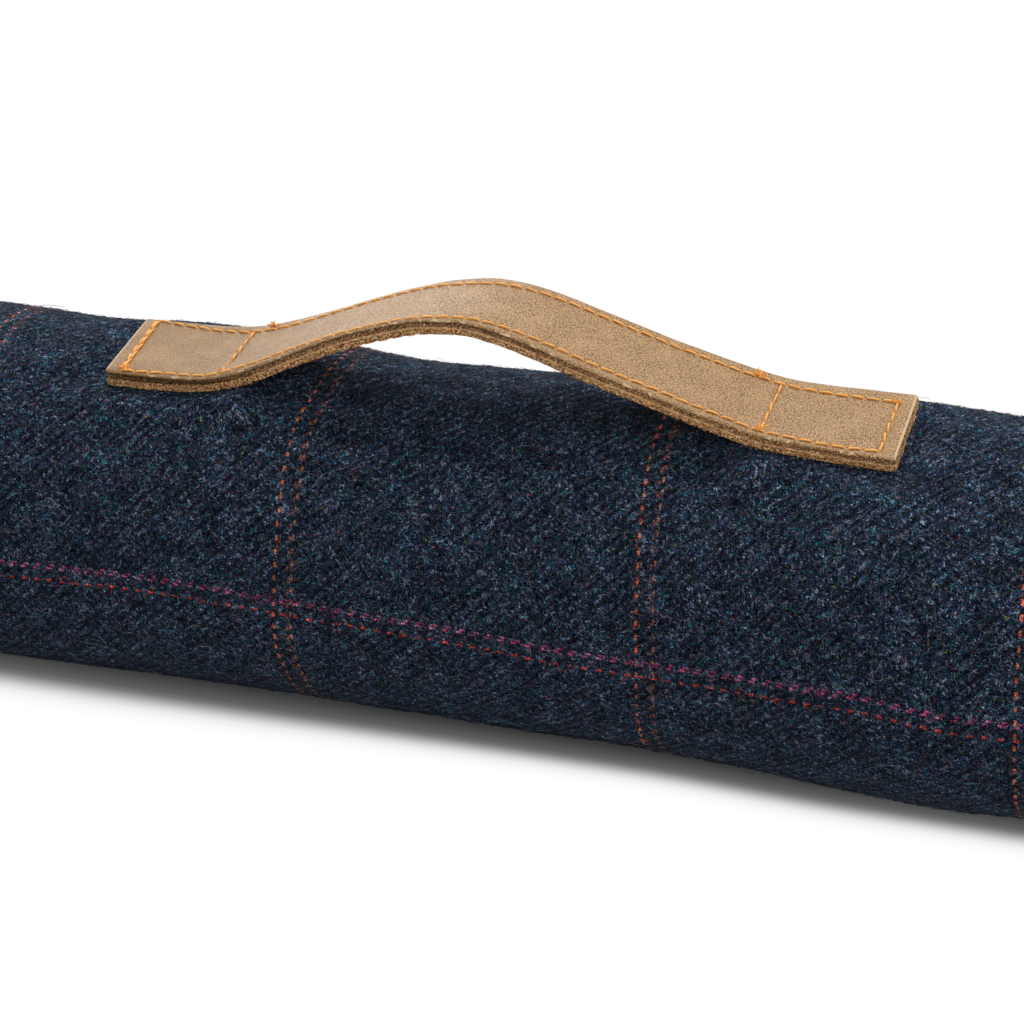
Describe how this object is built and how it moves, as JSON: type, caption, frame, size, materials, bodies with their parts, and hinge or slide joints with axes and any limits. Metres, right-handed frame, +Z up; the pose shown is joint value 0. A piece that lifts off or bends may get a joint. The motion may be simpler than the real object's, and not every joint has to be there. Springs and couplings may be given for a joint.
{
  "type": "draught excluder",
  "caption": "Long round draught excluder: a firmly filled tweed roll with round ends and an arched, stitched leather carrying handle sewn on top.",
  "frame": {"origin": "on the floor under the middle of the roll", "axes": "+X along the roll, towards the handle's slightly higher end; +Y away from the side the handle leans to; +Z up"},
  "size_m": [0.9, 0.1181, 0.1308],
  "materials": {
    "tweed": "matt milled wool twill with a fine coloured overcheck",
    "tweed_end": "matt milled wool twill",
    "leather_grain": "matt waxed grain leather, raw cut edges, orange stitching",
    "leather_under": "matt leather, raw fibrous edges"
  },
  "bodies": {
    "root": {"roll": "tweed", "end_left": "tweed_end", "end_right": "tweed_end", "handle_top": "leather_grain", "handle_under": "leather_under"}
  },
  "joints": []
}
